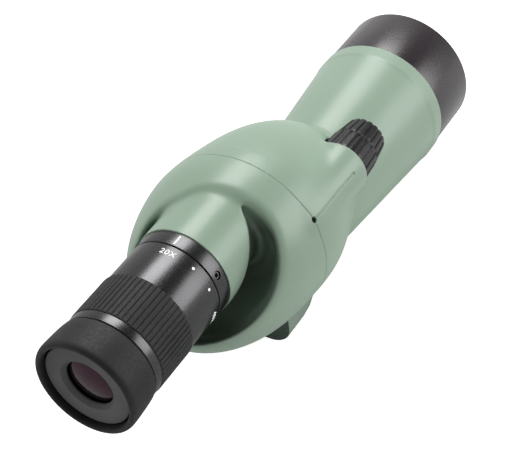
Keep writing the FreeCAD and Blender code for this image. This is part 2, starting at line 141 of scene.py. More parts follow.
def nets(f, lo, hi, h):
    lo = np.array(lo, float)
    n = np.ceil((np.array(hi, float) - lo) / h).astype(int) + 1
    ax = [lo[k] + h * np.arange(n[k]) for k in range(3)]
    F = np.empty(n, np.float32)
    step = 24
    for i in range(0, n[0], step):
        X, Y, Z = np.meshgrid(ax[0][i:i + step], ax[1], ax[2], indexing="ij")
        F[i:i + step] = f(X, Y, Z)
    S = F < 0
    c = np.zeros(n - 1, np.uint8)
    offs = [(a, b, d) for a in (0, 1) for b in (0, 1) for d in (0, 1)]
    for a, b, d in offs:
        c += S[a:n[0] - 1 + a, b:n[1] - 1 + b, d:n[2] - 1 + d]
    act = np.argwhere((c > 0) & (c < 8))
    vid = -np.ones(n - 1, np.int64)
    vid[tuple(act.T)] = np.arange(len(act))
    P = np.zeros((len(act), 3))
    cnt = np.zeros(len(act))
    for p in offs:
        for k in range(3):
            if p[k]:
                continue
            q = list(p)
            q[k] = 1
            va = F[act[:, 0] + p[0], act[:, 1] + p[1], act[:, 2] + p[2]].astype(float)
            vb = F[act[:, 0] + q[0], act[:, 1] + q[1], act[:, 2] + q[2]].astype(float)
            m = (va < 0) != (vb < 0)
            t = np.where(m, va / np.where(m, va - vb, 1), 0)
            pt = np.array(p, float)[None] + t[:, None] * (np.array(q) - np.array(p))[None]
            P[m] += pt[m]
            cnt[m] += 1
    P = lo + (act + P / cnt[:, None]) * h
    quads = []
    for k in range(3):
        u, v = (k + 1) % 3, (k + 2) % 3
        sl0 = [slice(None)] * 3
        sl1 = [slice(None)] * 3
        sl0[k] = slice(0, n[k] - 1)
        sl1[k] = slice(1, n[k])
        d = S[tuple(sl0)] != S[tuple(sl1)]
        e = np.argwhere(d)
        ok = (e[:, u] > 0) & (e[:, v] > 0) & (e[:, u] < n[u] - 1) & (e[:, v] < n[v] - 1)
        e = e[ok]
        neg = S[tuple(e.T)]
        q = []
        for du, dv in ((1, 1), (0, 1), (0, 0), (1, 0)):
            g = e.copy()
            g[:, u] -= du
            g[:, v] -= dv
            q.append(vid[tuple(g.T)])
        q = np.stack(q, 1)
        q[~neg] = q[~neg][:, ::-1]
        quads.append(q)
    Q = np.concatenate(quads)
    for _ in range(3):
        x, y, z = P.T
        v0 = f(x, y, z)
        g = np.stack([(f(x + 0.02, y, z) - f(x - 0.02, y, z)), (f(x, y + 0.02, z) - f(x, y - 0.02, z)),
                      (f(x, y, z + 0.02) - f(x, y, z - 0.02))], 1) / 0.04
        st = -v0[:, None] * g / np.maximum((g * g).sum(1), 0.2)[:, None]
        st = np.clip(st, -h * 0.5, h * 0.5)
        P = P + st
    return P, Q


def new_obj(name, verts, faces, mat, slot, body, nodes=(), smooth=True, sharp=38.0):
    me = bpy.data.meshes.new(name)
    me.from_pydata([tuple(v) for v in (np.asarray(verts, float) * MM)], [], [tuple(int(i) for i in f) for f in faces])
    me.update()
    return wrap(name, me, mat, body, nodes, smooth, sharp)


def mark(me, sharp):
    bm = bmesh.new()
    bm.from_mesh(me)
    bmesh.ops.recalc_face_normals(bm, faces=bm.faces)
    lim = math.radians(sharp)
    for f in bm.faces:
        f.smooth = True
    for e in bm.edges:
        e.smooth = not (len(e.link_faces) == 2 and e.calc_face_angle(0.0) > lim)
    bm.to_mesh(me)
    bm.free()


def wrap(name, me, mat, body, nodes, smooth=True, sharp=38.0):
    if smooth:
        mark(me, sharp)
    ob = bpy.data.objects.new(name, me)
    bpy.context.scene.collection.objects.link(ob)
    me.materials.clear()
    me.materials.append(mat)
    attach(ob, body)
    if nodes:
        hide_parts(*nodes)
    return ob


def lathe(pts, cx, cz, seg=192, y_off=0.0, rfun=None):
    """Closed ring from a closed profile of (y, r) points turned about an axis along Y."""
    p = np.array(pts, float)
    n = len(p)
    th = np.linspace(0, 2 * math.pi, seg, endpoint=False)
    R = np.repeat(p[:, 1][None], seg, 0)
    Yv = np.repeat(p[:, 0][None], seg, 0)
    if rfun is not None:
        R = rfun(R, Yv, th[:, None])
    V = np.stack([cx + R * np.sin(th)[:, None], Yv + y_off, cz + R * np.cos(th)[:, None]], -1).reshape(-1, 3)
    F = []
    for i in range(seg):
        j = (i + 1) % seg
        for k in range(n):
            m = (k + 1) % n
            F.append((i * n + k, i * n + m, j * n + m, j * n + k))
    return V, F


def disc_lathe(pts, cx, cz, seg=128):
    """Solid of revolution whose profile starts and ends on the axis."""
    p = np.array(pts, float)
    n = len(p)
    th = np.linspace(0, 2 * math.pi, seg, endpoint=False)
    V = [(cx, p[0, 0], cz), (cx, p[-1, 0], cz)]
    inner = p[1:-1]
    m = len(inner)
    for t in th:
        for y, r in inner:
            V.append((cx + r * math.sin(t), y, cz + r * math.cos(t)))
    F = []
    for i in range(seg):
        j = (i + 1) % seg
        a, b = 2 + i * m, 2 + j * m
        F.append((0, a, b))
        for k in range(m - 1):
            F.append((a + k, a + k + 1, b + k + 1, b + k))
        F.append((1, b + m - 1, a + m - 1))
    return np.array(V), F


def arc(c, r, a0, a1, n=5):
    return [(c[0] + r * math.cos(math.radians(a0 + (a1 - a0) * i / n)), c[1] + r * math.sin(math.radians(a0 + (a1 - a0) * i / n))) for i in range(n + 1)]


def rounded(pts, rad, n=4):
    """Rounds every corner of a closed (y, r) polygon. rad may be a list."""
    out = []
    m = len(pts)
    for i in range(m):
        p0, p1, p2 = np.array(pts[i - 1], float), np.array(pts[i], float), np.array(pts[(i + 1) % m], float)
        rr = rad[i] if isinstance(rad, (list, tuple)) else rad
        a, b = p0 - p1, p2 - p1
        la, lb = np.linalg.norm(a), np.linalg.norm(b)
        t = min(rr, la * 0.45, lb * 0.45)
        if t < 1e-4:
            out.append(tuple(p1))
            continue
        a, b = a / la, b / lb
        q0, q1 = p1 + a * t, p1 + b * t
        for k in range(n + 1):
            u = k / n
            out.append(tuple((1 - u) ** 2 * q0 + 2 * u * (1 - u) * p1 + u * u * q1))
    return out


def subdiv(pts, maxd):
    out = []
    m = len(pts)
    for i in range(m):
        a, b = np.array(pts[i]), np.array(pts[(i + 1) % m])
        k = max(1, int(math.ceil(np.linalg.norm(b - a) / maxd)))
        for j in range(k):
            out.append(tuple(a + (b - a) * j / k))
    return out


# ==== materials
def lin(c):
    return tuple((x / 255.0 / 12.92 if x / 255.0 <= 0.04045 else ((x / 255.0 + 0.055) / 1.055) ** 2.4) for x in c) + (1.0,)


def nodes_of(name):
    m = bpy.data.materials.new(name)
    m.use_nodes = True
    nt = m.node_tree
    bs = nt.nodes["Principled BSDF"]
    return m, nt, bs


def coords(nt, scale=1.0, loc=(0, 0, 0), rot=(0, 0, 0), sc=(1, 1, 1)):
    tc = nt.nodes.new("ShaderNodeTexCoord")
    mp = nt.nodes.new("ShaderNodeMapping")
    mp.inputs["Location"].default_value = loc
    mp.inputs["Rotation"].default_value = rot
    mp.inputs["Scale"].default_value = (sc[0] * scale, sc[1] * scale, sc[2] * scale)
    nt.links.new(tc.outputs["Object"], mp.inputs["Vector"])
    return mp.outputs["Vector"]


def noise(nt, vec, scale, detail=3.0, rough=0.5):
    n = nt.nodes.new("ShaderNodeTexNoise")
    n.inputs["Scale"].default_value = scale
    n.inputs["Detail"].default_value = detail
    n.inputs["Roughness"].default_value = rough
    nt.links.new(vec, n.inputs["Vector"])
    return n.outputs["Fac"]


def remap(nt, fac, a, b, c, d):
    m = nt.nodes.new("ShaderNodeMapRange")
    m.inputs["From Min"].default_value = a
    m.inputs["From Max"].default_value = b
    m.inputs["To Min"].default_value = c
    m.inputs["To Max"].default_value = d
    nt.links.new(fac, m.inputs["Value"])
    return m.outputs["Result"]


def mixc(nt, fac, c0, c1, blend="MIX"):
    m = nt.nodes.new("ShaderNodeMix")
    m.data_type = "RGBA"
    m.blend_type = blend
    m.inputs["Factor"].default_value = 0.5
    if fac is not None:
        if isinstance(fac, float):
            m.inputs["Factor"].default_value = fac
        else:
            nt.links.new(fac, m.inputs["Factor"])
    for k, c in ((6, c0), (7, c1)):
        if isinstance(c, tuple):
            m.inputs[k].default_value = c
        else:
            nt.links.new(c, m.inputs[k])
    return m.outputs[2]


def bump(nt, bs, h, strength, dist, normal=None):
    b = nt.nodes.new("ShaderNodeBump")
    b.inputs["Strength"].default_value = strength
    b.inputs["Distance"].default_value = dist
    nt.links.new(h, b.inputs["Height"])
    if normal is not None:
        nt.links.new(normal, b.inputs["Normal"])
    nt.links.new(b.outputs["Normal"], bs.inputs["Normal"])
    return b.outputs["Normal"]


def edge_mask(nt, lo=0.5, hi=0.62):
    g = nt.nodes.new("ShaderNodeNewGeometry")
    return remap(nt, g.outputs["Pointiness"], lo, hi, 0.0, 1.0)


def coated(name, base, dark, light, r0, r1, grain, gdist, gstr, spec=0.5, metallic=0.0, coat=0.0, wear=None, big=18.0, edge=(0.515, 0.60), ior=1.5, shade=None):
    """Painted or moulded finish: fine orange-peel grain, slow colour drift, brighter worn edges, and optional painted
    shade that darkens the colour where a baked point attribute is high.
    """
    m, nt, bs = nodes_of(name)
    v = coords(nt)
    n1 = noise(nt, v, big, 2.0)
    col = mixc(nt, remap(nt, n1, 0.35, 0.65, 0.0, 1.0), lin(dark), lin(light))
    n2 = noise(nt, v, grain, 2.0, 0.6)
    col = mixc(nt, remap(nt, n2, 0.3, 0.7, 0.0, 0.22), col, lin(base))
    if wear is not None:
        e = edge_mask(nt, *edge)
        n3 = noise(nt, v, 900.0, 4.0)
        mul = nt.nodes.new("ShaderNodeMath")
        mul.operation = "MULTIPLY"
        nt.links.new(e, mul.inputs[0])
        nt.links.new(remap(nt, n3, 0.35, 0.65, 0.2, 1.0), mul.inputs[1])
        col = mixc(nt, mul.outputs[0], col, lin(wear))
    # painted shade: the colour is mixed towards the dark shade colour by the baked occlusion attribute
    if shade is not None:
        at = nt.nodes.new("ShaderNodeAttribute")
        at.attribute_name = "shade"
        col = mixc(nt, remap(nt, at.outputs["Fac"], 0.3, 0.92, 0.0, 0.9), col, lin(shade))
    nt.links.new(col, bs.inputs["Base Color"])
    nt.links.new(remap(nt, n2, 0.25, 0.75, r0, r1), bs.inputs["Roughness"])
    bs.inputs["Metallic"].default_value = metallic
    bs.inputs["Specular IOR Level"].default_value = spec
    bs.inputs["IOR"].default_value = ior
    if coat:
        bs.inputs["Coat Weight"].default_value = coat
        bs.inputs["Coat Roughness"].default_value = 0.25
    bump(nt, bs, n2, gstr, gdist)
    return m


def turned(name, base, light, r0, r1, aniso=0.5, metallic=1.0, spec=0.5, lines=2600.0, wear=(150, 150, 152)):
    """Lathe-turned and anodised metal: very fine rings across the axis, speckle from the blasting."""
    m, nt, bs = nodes_of(name)
    v = coords(nt, sc=(0.02, 1.0, 0.02))
    n1 = noise(nt, v, lines, 2.0, 0.7)
    vs = coords(nt)
    n2 = noise(nt, vs, 2200.0, 2.0, 0.7)
    n0 = noise(nt, vs, 35.0, 2.0)
    col = mixc(nt, remap(nt, n2, 0.3, 0.7, 0.0, 1.0), lin(base), lin(light))
    col = mixc(nt, remap(nt, n0, 0.3, 0.7, 0.0, 0.3), col, lin(base))
    e = edge_mask(nt, 0.53, 0.62)
    col = mixc(nt, remap(nt, e, 0.0, 1.0, 0.0, 0.35), col, lin(wear))
    nt.links.new(col, bs.inputs["Base Color"])
    nt.links.new(remap(nt, n2, 0.25, 0.75, r0, r1), bs.inputs["Roughness"])
    bs.inputs["Metallic"].default_value = metallic
    bs.inputs["Specular IOR Level"].default_value = spec
    add = nt.nodes.new("ShaderNodeMath")
    add.operation = "ADD"
    nt.links.new(n1, add.inputs[0])
    nt.links.new(n2, add.inputs[1])
    bump(nt, bs, add.outputs[0], 0.16, 0.00002)
    return m


def glass_mat(name, tint, coat_col, rough=0.03, body=(0.95, 0.97, 0.96, 1.0), spec=0.5):
    m, nt, bs = nodes_of(name)
    v = coords(nt)
    n = noise(nt, v, 60.0, 2.0)
    col = mixc(nt, remap(nt, n, 0.35, 0.65, 0.0, 0.15), body, tint)
    nt.links.new(col, bs.inputs["Base Color"])
    bs.inputs["Roughness"].default_value = rough
    bs.inputs["IOR"].default_value = 1.5
    bs.inputs["Transmission Weight"].default_value = 1.0
    bs.inputs["Specular Tint"].default_value = coat_col
    bs.inputs["Specular IOR Level"].default_value = spec
    n2 = noise(nt, v, 400.0, 2.0)
    nt.links.new(remap(nt, n2, 0.3, 0.7, rough, rough + 0.03), bs.inputs["Roughness"])
    return m


M = {}
# housing paint with painted shade: darkened towards (34, 44, 37) in the recess round the eyepiece neck
M["body_green"] = coated("paint_green", (165, 190, 168), (161, 186, 164), (168, 193, 172), 0.29, 0.38, 1900.0, 0.00002, 0.22, spec=0.5,
                         wear=(196, 212, 200), big=14.0, shade=(34, 44, 37))
M["foot_green"] = coated("paint_foot", (138, 158, 143), (131, 151, 136), (144, 164, 149), 0.4, 0.55, 1900.0, 0.00002, 0.25, spec=0.5,
                         wear=(190, 205, 195), big=30.0)
# darker copy of the foot paint for faces turned to the rear: painted shade
M["foot_rear"] = coated("paint_foot_rear", (48, 60, 52), (42, 53, 46), (55, 67, 59), 0.45, 0.6, 1900.0, 0.00002, 0.3, spec=0.4, wear=(120, 136, 126), big=60.0)
M["hood_black"] = coated("hood_coat", (40, 31, 36), (36, 28, 33), (45, 36, 41), 0.24, 0.32, 1500.0, 0.00001, 0.2, spec=0.7, coat=0.3,
                         wear=(120, 112, 120), big=25.0)
M["anodised_black"] = turned("anodised", (72, 72, 73), (90, 90, 91), 0.24, 0.32, metallic=1.0)
M["rubber_grip"] = coated("rubber_grip", (48, 48, 49), (41, 41, 42), (54, 54, 56), 0.55, 0.75, 1300.0, 0.00005, 0.5, spec=0.45,
                          wear=(74, 74, 76), big=60.0, edge=(0.51, 0.58))
M["rubber_cup"] = coated("rubber_cup", (33, 33, 34), (28, 28, 29), (38, 38, 40), 0.5, 0.68, 1100.0, 0.00004, 0.4, spec=0.45,
                         wear=(60, 60, 62), big=50.0)
M["rubber_seal"] = coated("rubber_seal", (22, 22, 22), (18, 18, 18), (28, 28, 28), 0.5, 0.7, 1200.0, 0.00004, 0.4, big=60.0)
M["plastic_grey"] = coated("plastic_face", (98, 98, 99), (91, 91, 92), (105, 105, 106), 0.6, 0.78, 1500.0, 0.00004, 0.45, spec=0.35,
                           wear=(100, 100, 103), big=40.0)
M["knob_black"] = coated("knob_black", (9, 10, 10), (7, 8, 8), (12, 13, 13), 0.28, 0.42, 1400.0, 0.00003, 0.35, spec=0.55,
                         wear=(110, 116, 112), big=60.0, edge=(0.52, 0.60))
M["inner_black"] = coated("inside_black", (14, 14, 15), (11, 11, 12), (18, 18, 19), 0.6, 0.8, 1500.0, 0.00003, 0.4, spec=0.3, big=50.0)
M["steel"] = turned("steel", (150, 150, 152), (180, 180, 182), 0.22, 0.34)
M["steel_black"] = turned("steel_black", (74, 74, 76), (96, 96, 98), 0.24, 0.36)
M["brass"] = turned("brass", (176, 140, 70), (205, 168, 92), 0.2, 0.34, wear=(225, 195, 130))
M["glass"] = glass_mat("glass_front", (0.86, 0.95, 0.9, 1.0), (0.45, 0.9, 0.55, 1.0))
# eyepiece glass coloured nearly black: painted shade for the dark inside of the eyepiece
M["glass_eye"] = glass_mat("glass_eye", (0.16, 0.12, 0.15, 1.0), (1.0, 0.35, 0.6, 1.0), rough=0.01, body=(0.012, 0.01, 0.011, 1.0), spec=0.02)
M["mark_white_glow"] = coated("mark_white_glow", (248, 248, 247), (240, 240, 239), (250, 250, 250), 0.45, 0.6, 2000.0, 0.00002, 0.3, big=200.0)
# painted light: the white marks glow faintly so they stay bright under any light
for nd in M["mark_white_glow"].node_tree.nodes:
    if nd.type == "BSDF_PRINCIPLED":
        nd.inputs["Emission Color"].default_value = (1, 1, 1, 1)
        nd.inputs["Emission Strength"].default_value = 0.5

rec = frame["record"]


def slot_of(node):
    for n in rec.get("geometry", {}).get("nodes", []):
        if n.get("name") == node:
            return n.get("material_slot") or n.get("material") or n.get("slot")
    return None


SLOT = {
    "rear_cover": "body_green", "front_body": "body_green", "tripod_foot": "foot_green", "objective_hood": "hood_black",
    "eyepiece_collar": "anodised_black", "zoom_barrel": "anodised_black", "zoom_grip": "rubber_grip", "eyecup": "rubber_cup",
    "face_plate": "plastic_grey", "coarse_knob": "knob_black", "fine_knob": "knob_black", "seam_oring": "rubber_seal",
    "focus_seal": "rubber_seal", "cover_screws": "steel_black", "tripod_bush": "steel", "foot_screws": "steel_black",
    "collar_set_screws": "steel_black", "knob_screw": "steel_black", "plate_screws": "steel", "prism_clips": "steel",
    "guide_rods": "steel", "focus_shaft": "steel", "shaft_clip": "steel", "focus_nut": "brass", "focus_bush": "brass", "cam_pin": "brass",
    "prism_rear": "glass", "prism_front": "glass", "focus_lens": "glass", "objective_rear_lens": "glass",
    "objective_front_lens": "glass", "zoom_lens": "glass_eye", "field_lens": "glass_eye", "eye_lens": "glass_eye",
    "eye_inner_lens": "glass_eye",
}
for nm, ob in N.items():
    mat = M[SLOT.get(nm, "inner_black")]
    if not ob.material_slots:
        ob.data.materials.append(mat)
    for sl in ob.material_slots:
        sl.material = mat


# ==== housing
def shell(name, f, lo, hi, cuts, h=0.7):
    P, Q = nets(f, lo, hi, h)
    me = bpy.data.meshes.new(name)
    me.from_pydata([tuple(v) for v in P], [], [tuple(int(i) for i in q) for q in Q])
    bm = bmesh.new()
    bm.from_mesh(me)
    for plane_y, keep in cuts:
        geom = bm.verts[:] + bm.edges[:] + bm.faces[:]
        bmesh.ops.bisect_plane(bm, geom=geom, dist=1e-5, plane_co=(0, plane_y, 0), plane_no=(0, 1, 0),
                               clear_outer=(keep < 0), clear_inner=(keep > 0))
        edges = [e for e in bm.edges if e.is_boundary and abs(e.verts[0].co.y - plane_y) < 1e-3 and abs(e.verts[1].co.y - plane_y) < 1e-3]
        bmesh.ops.triangle_fill(bm, use_beauty=True, use_dissolve=False, edges=edges, normal=(0, -keep, 0))
        # fine chamfer on the outer edge
        geom = bm.verts[:] + bm.edges[:] + bm.faces[:]
        bmesh.ops.bisect_plane(bm, geom=geom, dist=1e-5, plane_co=(0, plane_y + keep * 0.28, 0), plane_no=(0, 1, 0))
        for v in bm.verts:
            if abs(v.co.y - plane_y) < 1e-4:
                c = np.array(v.co)
                d0 = float(d_outer(c[0], c[1], c[2]))
                if abs(d0) < 0.25:
                    gx = float(d_outer(c[0] + 0.02, c[1], c[2])) - float(d_outer(c[0] - 0.02, c[1], c[2]))
                    gz = float(d_outer(c[0], c[1], c[2] + 0.02)) - float(d_outer(c[0], c[1], c[2] - 0.02))
                    L = math.hypot(gx, gz) or 1.0
                    v.co.x -= 0.2 * gx / L
                    v.co.z -= 0.2 * gz / L
    bmesh.ops.recalc_face_normals(bm, faces=bm.faces)
    bm.to_mesh(me)
    bm.free()
    return me


def bake_painted_shade(me):
    """Painted shade: stores how closed in each point of the housing is, from the distance field along its normal, as a
    point attribute that darkens the paint colour.
    """
    n = len(me.vertices)
    co = np.empty(n * 3)
    me.vertices.foreach_get("co", co)
    co = co.reshape(-1, 3)
    no = np.empty(n * 3)
    me.vertices.foreach_get("normal", no)
    no = no.reshape(-1, 3)
    occ = np.zeros(n)
    tot = 0.0
    for t, w in ((2.0, 0.7), (4.0, 1.0), (7.0, 1.0), (11.0, 1.0), (16.0, 0.8)):
        p = co + no * t
        d = d_outer(p[:, 0], p[:, 1], p[:, 2])
        d = np.minimum(d, np.maximum(np.hypot(p[:, 0], p[:, 2] - ZE) - 19.7, p[:, 1] - (E + 64)))
        occ += w * np.clip((t - d) / t, 0, 1)
        tot += w
    # painted shade weighted round the eyepiece axis: faint at the top, about half on the left, full on the right and
    # underneath
    th = np.degrees(np.arctan2(co[:, 0], co[:, 2] - ZE))
    keep = np.interp(th, [-180, -110, -85, -60, -35, 0, 28, 42, 58, 74, 180],
                     [1.0, 0.7, 0.5, 0.34, 0.14, 0.06, 0.12, 0.32, 0.7, 1.0, 1.0])
    at = me.attributes.new("shade", "FLOAT", "POINT")
    at.data.foreach_set("value", np.clip(occ / tot * 1.25 * keep, 0, 1).astype(np.float32))


def tool_obj(V, F, name="tool"):
    me = bpy.data.meshes.new(name)
    me.from_pydata([tuple(v) for v in V], [], [tuple(int(i) for i in f) for f in F])
    bm = bmesh.new()
    bm.from_mesh(me)
    bmesh.ops.recalc_face_normals(bm, faces=bm.faces)
    bm.to_mesh(me)
    bm.free()
    return me


def carve(me, tools, op="DIFFERENCE"):
    a = bpy.data.objects.new("carve_a", me)
    bpy.context.scene.collection.objects.link(a)
    tmp = []
    for t in tools:
        b = bpy.data.objects.new("carve_b", t)
        bpy.context.scene.collection.objects.link(b)
        tmp.append(b)
        md = a.modifiers.new("b", "BOOLEAN")
        md.operation = op
        md.object = b
        try:
            md.solver = "MANIFOLD"
        except TypeError:
            md.solver = "EXACT"
    n0 = len(me.polygons)
    dg = bpy.context.evaluated_depsgraph_get()
    r = bpy.data.meshes.new_from_object(a.evaluated_get(dg))
    if len(r.polygons) < n0 * 0.5 or len(r.polygons) == n0:
        print("carve fallback", me.name, n0, len(r.polygons))
        for md in a.modifiers:
            md.solver = "EXACT"
        dg = bpy.context.evaluated_depsgraph_get()
        r = bpy.data.meshes.new_from_object(a.evaluated_get(dg))
    for b in tmp:
        bpy.data.objects.remove(b)
    bpy.data.objects.remove(a)
    return r


def rod(p, q, r, seg=32, r2=None):
    p, q = Vector(p), Vector(q)
    d = (q - p).normalized()
    u = d.orthogonal().normalized()
    w = d.cross(u)
    r2 = r if r2 is None else r2
    V, F = [], []
    for c, rr in ((p, r), (q, r2)):
        for i in range(seg):
            a = 2 * math.pi * i / seg
            V.append(c + u * (rr * math.cos(a)) + w * (rr * math.sin(a)))
    for i in range(seg):
        j = (i + 1) % seg
        F.append((i, j, seg + j, seg + i))
    F.append(tuple(range(seg - 1, -1, -1)))
    F.append(tuple(range(seg, 2 * seg)))
    return V, F


def surf(p, d, n=40):
    """Moves p along d until it is on the housing."""
    p = np.array(p, float)
    d = np.array(d, float) / np.linalg.norm(d)
    for _ in range(n):
        p = p - d * float(d_outer(p[0], p[1], p[2]))
    return p


GX, GZ = 33.45, 65.75
NA = math.radians(63.0)
groove = []
rad_dir = np.array([math.sin(NA), 0, math.cos(NA)])
for yy in np.linspace(SEAM - 0.5, E + 137.4, 26):
    groove.append(surf((GX, yy, GZ), rad_dir))


def sweep(path, radii, seg=20):
    V, F = [], []
    m = len(path)
    for k in range(m):
        p = Vector(path[k])
        a = Vector(path[max(0, k - 1)])
        b = Vector(path[min(m - 1, k + 1)])
        d = (b - a).normalized()
        u = d.cross(Vector(rad_dir)).normalized()
        w = u.cross(d)
        for i in range(seg):
            t = 2 * math.pi * i / seg
            V.append(p + u * (radii[k] * math.cos(t)) + w * (radii[k] * math.sin(t)))
    for k in range(m - 1):
        for i in range(seg):
            j = (i + 1) % seg
            F.append((k * seg + i, k * seg + j, (k + 1) * seg + j, (k + 1) * seg + i))
    F.append(tuple(range(seg - 1, -1, -1)))
    F.append(tuple(range((m - 1) * seg, m * seg)))
    return V, F


gp = list(groove)
gr = [0.85] * len(gp)
gp = [q + rad_dir * 0.42 for q in gp]
last = gp[-1]
dy = gp[-1] - gp[-2]
dy = dy / np.linalg.norm(dy)
for a in (20, 40, 60, 80):
    gp.append(last + dy * 0.85 * math.sin(math.radians(a)))
    gr.append(0.85 * math.cos(math.radians(a)))
g_tool = tool_obj(*sweep(gp, gr))
notch_p = groove[0]
n_tool = lambda: tool_obj(*rod(Vector((notch_p[0], SEAM + 0.1, notch_p[2])) - Vector(rad_dir) * 6, Vector((notch_p[0], SEAM + 0.1, notch_p[2])) + Vector(rad_dir) * 4, 1.4, 6))
lp = surf((-33.0, SEAM, 64.0), (-math.sin(NA), 0, math.cos(NA)))
nl = Vector((-math.sin(NA), 0, math.cos(NA)))
l_tool = lambda: tool_obj(*rod(Vector((lp[0], SEAM + 0.1, lp[2])) - nl * 6, Vector((lp[0], SEAM + 0.1, lp[2])) + nl * 4, 1.25))
dot_tool = tool_obj(*rod((17.2, E + 143.4, ZE + 20), (17.2, E + 143.4, ZE + 6), 0.4))

me = shell("rear_shell", f_rear, (-42, E + 44, 2), (42, SEAM + 1.4, 90), [(SEAM, -1)])
neck_tool = disc_lathe([(E + 40, 0), (E + 40, 20.9), (NECK0 + 0.25, 20.9), (NECK0 + 0.25, 20.25), (NECK0, 20.0), (NECK0, 0)], 0, ZE, 160)
me = carve(me, [tool_obj(*neck_tool), n_tool(), l_tool()])
# bake the painted shade of the recess into a point attribute
bake_painted_shade(me)
for v in me.vertices:
    v.co = v.co * MM
rear_ob = wrap("rear_housing", me, M["body_green"], "scope", ("rear_cover",), sharp=33)

me = shell("front_shell", f_front, (-42, SEAM - 1.4, -2), (42, TUBE_END + 1.4, 90), [(SEAM, 1), (TUBE_END, -1)])
me = carve(me, [g_tool, n_tool(), l_tool()])
# bake the painted shade of the recess into a point attribute
bake_painted_shade(me)
for v in me.vertices:
    v.co = v.co * MM
front_ob = wrap("front_housing", me, M["body_green"], "scope", ("front_body",), sharp=33)


# ==== tripod foot
def foot_mesh():
    W, R, Y0, Y1, TOP = 21.2, 9.5, E + 98.3, E + 136.6, 17.5
    prof = [(-W, TOP)] + [(-W + R - R * math.cos(a), R - R * math.sin(a)) for a in np.linspace(0, math.pi / 2, 14)]
    prof += [(W - R + R * math.sin(a), R - R * math.cos(a)) for a in np.linspace(0, math.pi / 2, 14)] + [(W, TOP)]
    V, F = [], []
    c = 0.6
    rows = [(Y0, c), (Y0 + c * 0.3, c * 0.35), (Y0 + c, 0), (Y1 - 1.6, 0), (Y1 - 0.5, 0.5), (Y1, 1.6)]
    n = len(prof)
    rows = [(a, b, 1.0) for a, b in rows[:3]] + [(E + 112.0, 0, 1.0), (E + 118.0, 0, 0.965), (E + 124.0, 0, 0.88), (E + 130.0, 0, 0.78)] + \
        [(rows[3][0], 0, 0.70), (rows[4][0], rows[4][1], 0.69), (rows[5][0], rows[5][1], 0.68)]
    for y, ins, q in rows:
        for x, z in prof:
            V.append((q * x * (W - ins) / W, y, ins + z * (TOP - ins) / TOP if z < TOP else TOP))
    for k in range(len(rows) - 1):
        for i in range(n):
            j = (i + 1) % n
            F.append((k * n + i, k * n + j, (k + 1) * n + j, (k + 1) * n + i))
    F.append(tuple(range(n - 1, -1, -1)))
    F.append(tuple(range((len(rows) - 1) * n, len(rows) * n)))
    return tool_obj(V, F)


P, Q = nets(lambda X, Y, Z: d_outer(X, Y, Z) - 0.05, (-44, E + 90, 1), (44, E + 145, 48), 1.0)
# closed top for the cutter
skin = nets(lambda X, Y, Z: np.maximum(np.maximum(d_outer(X, Y, Z) - 0.05, Z - 40), np.maximum(E + 92 - Y, Y - (E + 143))), (-44, E + 90, 1), (44, E + 145, 48), 0.9)
cut_me = tool_obj(skin[0], skin[1])
holes = [tool_obj(*rod((0, 0, -1), (0, 0, 7.0), 5.5, 48))]
for y in (-15.0, 15.0):
    holes.append(tool_obj(*rod((0, y, -1), (0, y, 3.2), 3.0, 40)))
    holes.append(tool_obj(*rod((0, y, -1), (0, y, 30), 1.65, 24)))
me = carve(foot_mesh(), [cut_me] + holes)
for v in me.vertices:
    v.co = v.co * MM
foot_ob = wrap("foot_block", me, M["foot_green"], "scope", ("tripod_foot",), sharp=28)
# faces turned to the rear take the darker foot paint: painted shade
foot_ob.data.materials.append(M["foot_rear"])
for pl in foot_ob.data.polygons:
    if pl.normal.y < -0.7 and pl.center.y < (E + 100) * MM:
        pl.material_index = 1


# ==== eyepiece
def turned_piece(name, prof, slot, body, nodes, seg=224, cx=0.0, cz=ZE, off=E, rfun=None, sharp=30, tools=(), mat=None):
    V, F = lathe([(y + off, r) for y, r in prof], cx, cz, seg, rfun=rfun)
    me = tool_obj(V, F, name)
    if tools:
        me = carve(me, tools)
    for v in me.vertices:
        v.co = v.co * MM
    return wrap(name, me, mat or M[slot], body, nodes, sharp=sharp)


def catmull(pts, n=6):
    out = []
    m = len(pts)
    for i in range(m - 1):
        p0, p1, p2, p3 = (np.array(pts[max(0, i - 1)], float), np.array(pts[i], float), np.array(pts[i + 1], float),
                          np.array(pts[min(m - 1, i + 2)], float))
        for k in range(n):
            t = k / n
            out.append(tuple(0.5 * (2 * p1 + (p2 - p0) * t + (2 * p0 - 5 * p1 + 4 * p2 - p3) * t * t + (3 * p1 - p0 - 3 * p2 + p3) * t ** 3)))
    out.append(tuple(pts[-1]))
    return out


def radial(r, d0, d1, y, deg, cx=0.0, cz=ZE, seg=32, r2=None):
    a = math.radians(deg)
    d = (math.sin(a), 0, math.cos(a))
    return rod((cx + d[0] * d0, y, cz + d[2] * d0), (cx + d[0] * d1, y, cz + d[2] * d1), r, seg, r2)


cup_out = catmull([(13.2, 19.55), (13.05, 19.8), (12.2, 20.3), (9.0, 20.72), (4.0, 21.03), (1.0, 21.15), (-0.6, 21.1), (-1.7, 20.75),
                   (-2.35, 20.1), (-2.5, 19.5), (-2.25, 18.95), (-1.5, 18.55), (-0.5, 18.4)], 5)
cup = [(13.2, 18.35)] + cup_out + [(1.0, 18.35)]
turned_piece("eyecup_rubber", cup, "rubber_cup", "eyecup_body", ("eyecup",))

face = rounded([(0.0, 11.25), (0.0, 17.72), (2.2, 17.72), (2.2, 9.9), (1.55, 9.9)], [0.25, 0.35, 0.05, 0.05, 0.12])
turned_piece("eye_face", face, "plastic_grey", "scope", ("face_plate",))

bar = rounded([(2.7, 16.75), (2.7, 18.2), (13.35, 18.2), (13.35, 19.95), (17.38, 19.95), (17.38, 18.6), (37.45, 18.6), (37.45, 19.65),
               (56.8, 19.65), (56.8, 16.75)], [0.05, 0.05, 0.05, 0.28, 0.28, 0.05, 0.05, 0.25, 0.3, 0.05])
turned_piece("zoom_sleeve", bar, "anodised_black", "zoom_ring", ("zoom_barrel",))


